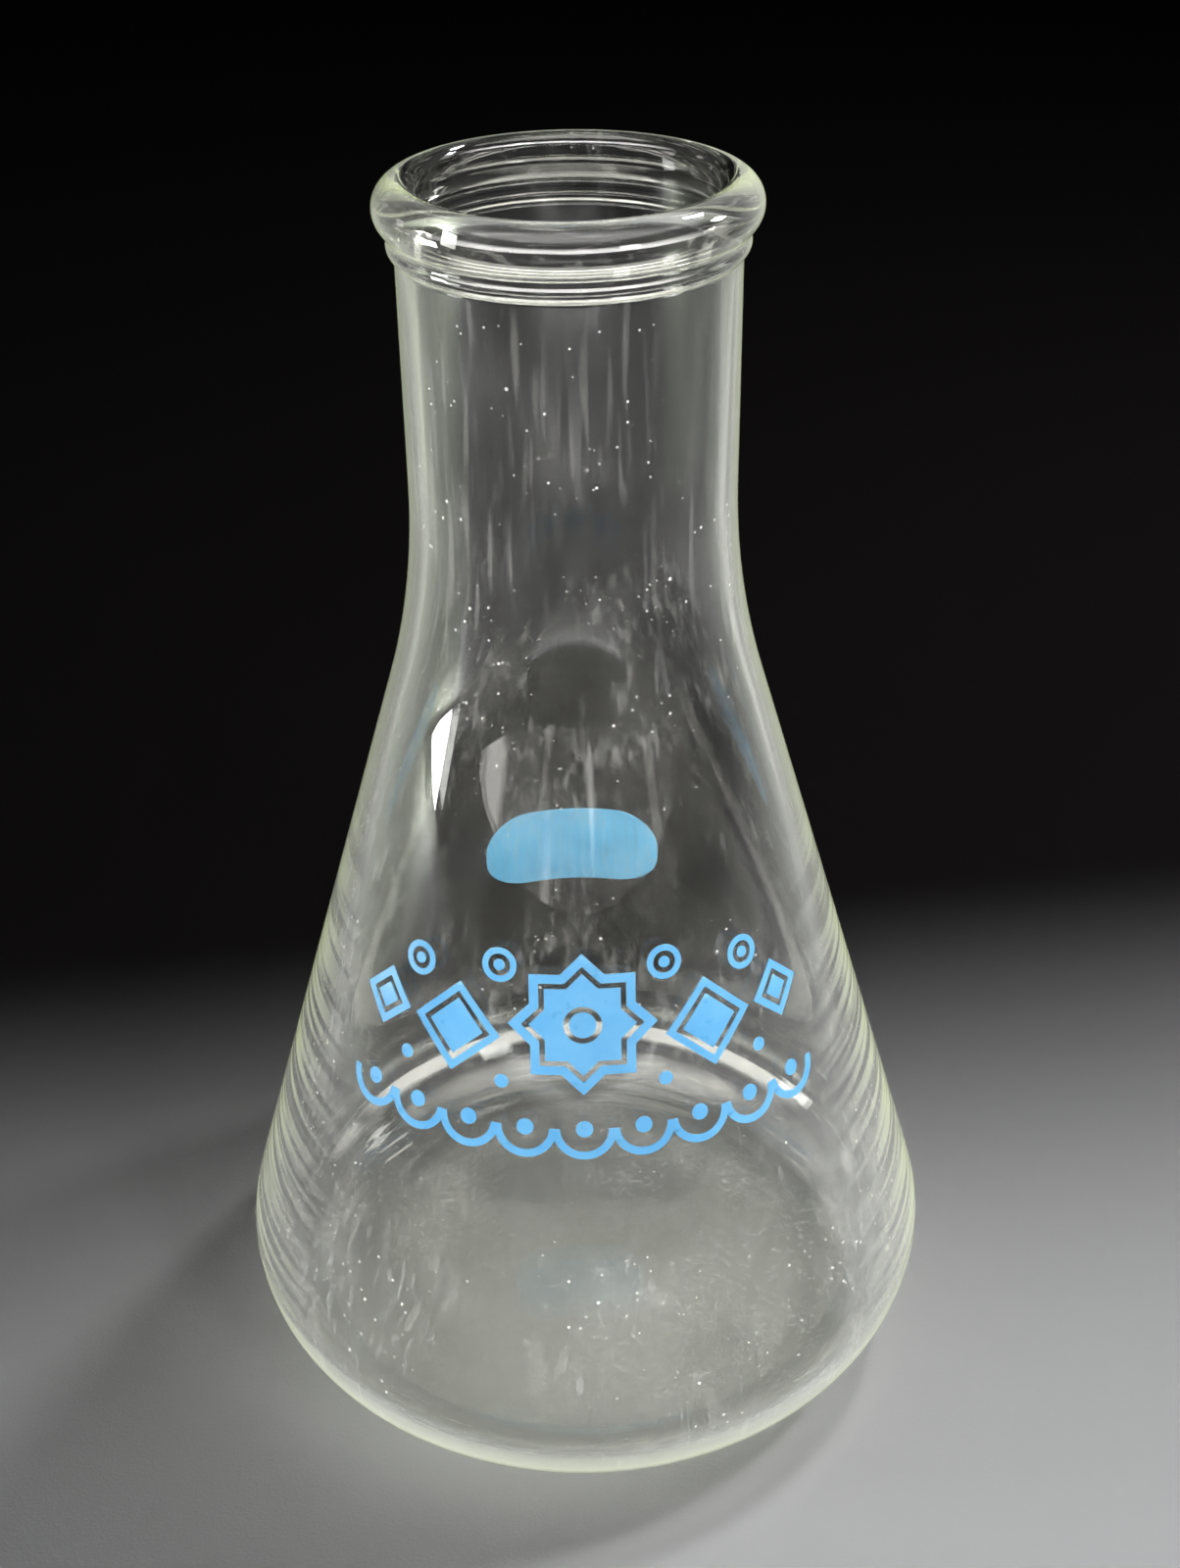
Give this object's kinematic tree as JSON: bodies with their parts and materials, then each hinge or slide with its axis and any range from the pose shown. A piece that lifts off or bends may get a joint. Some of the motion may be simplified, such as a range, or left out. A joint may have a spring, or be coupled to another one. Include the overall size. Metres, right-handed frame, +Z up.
{
  "type": "conical flask",
  "caption": "Clear glass conical laboratory flask with a straight neck, a rounded rim, a blue enamel marking spot and a printed blue star and diamond band.",
  "frame": {"origin": "middle of the foot, on the plane that the flask stands on", "axes": "+Z up along the flask's axis, out of the mouth; -Y is the printed front, and the marking spot is on the +Y side"},
  "size_m": [0.082, 0.082, 0.139],
  "materials": {
    "clear_glass": "clear, fire polished",
    "blue_enamel": "opaque, fired on, satin"
  },
  "bodies": {
    "root": {"flask": "clear_glass", "marking_spot": "blue_enamel", "star": "blue_enamel", "diamond_left": "blue_enamel", "diamond_right": "blue_enamel", "small_diamond_left": "blue_enamel", "small_diamond_right": "blue_enamel", "inner_ring_left": "blue_enamel", "inner_ring_right": "blue_enamel", "outer_ring_left": "blue_enamel", "outer_ring_right": "blue_enamel", "dots": "blue_enamel", "scallop_border": "blue_enamel", "border_drops": "blue_enamel"}
  },
  "joints": []
}
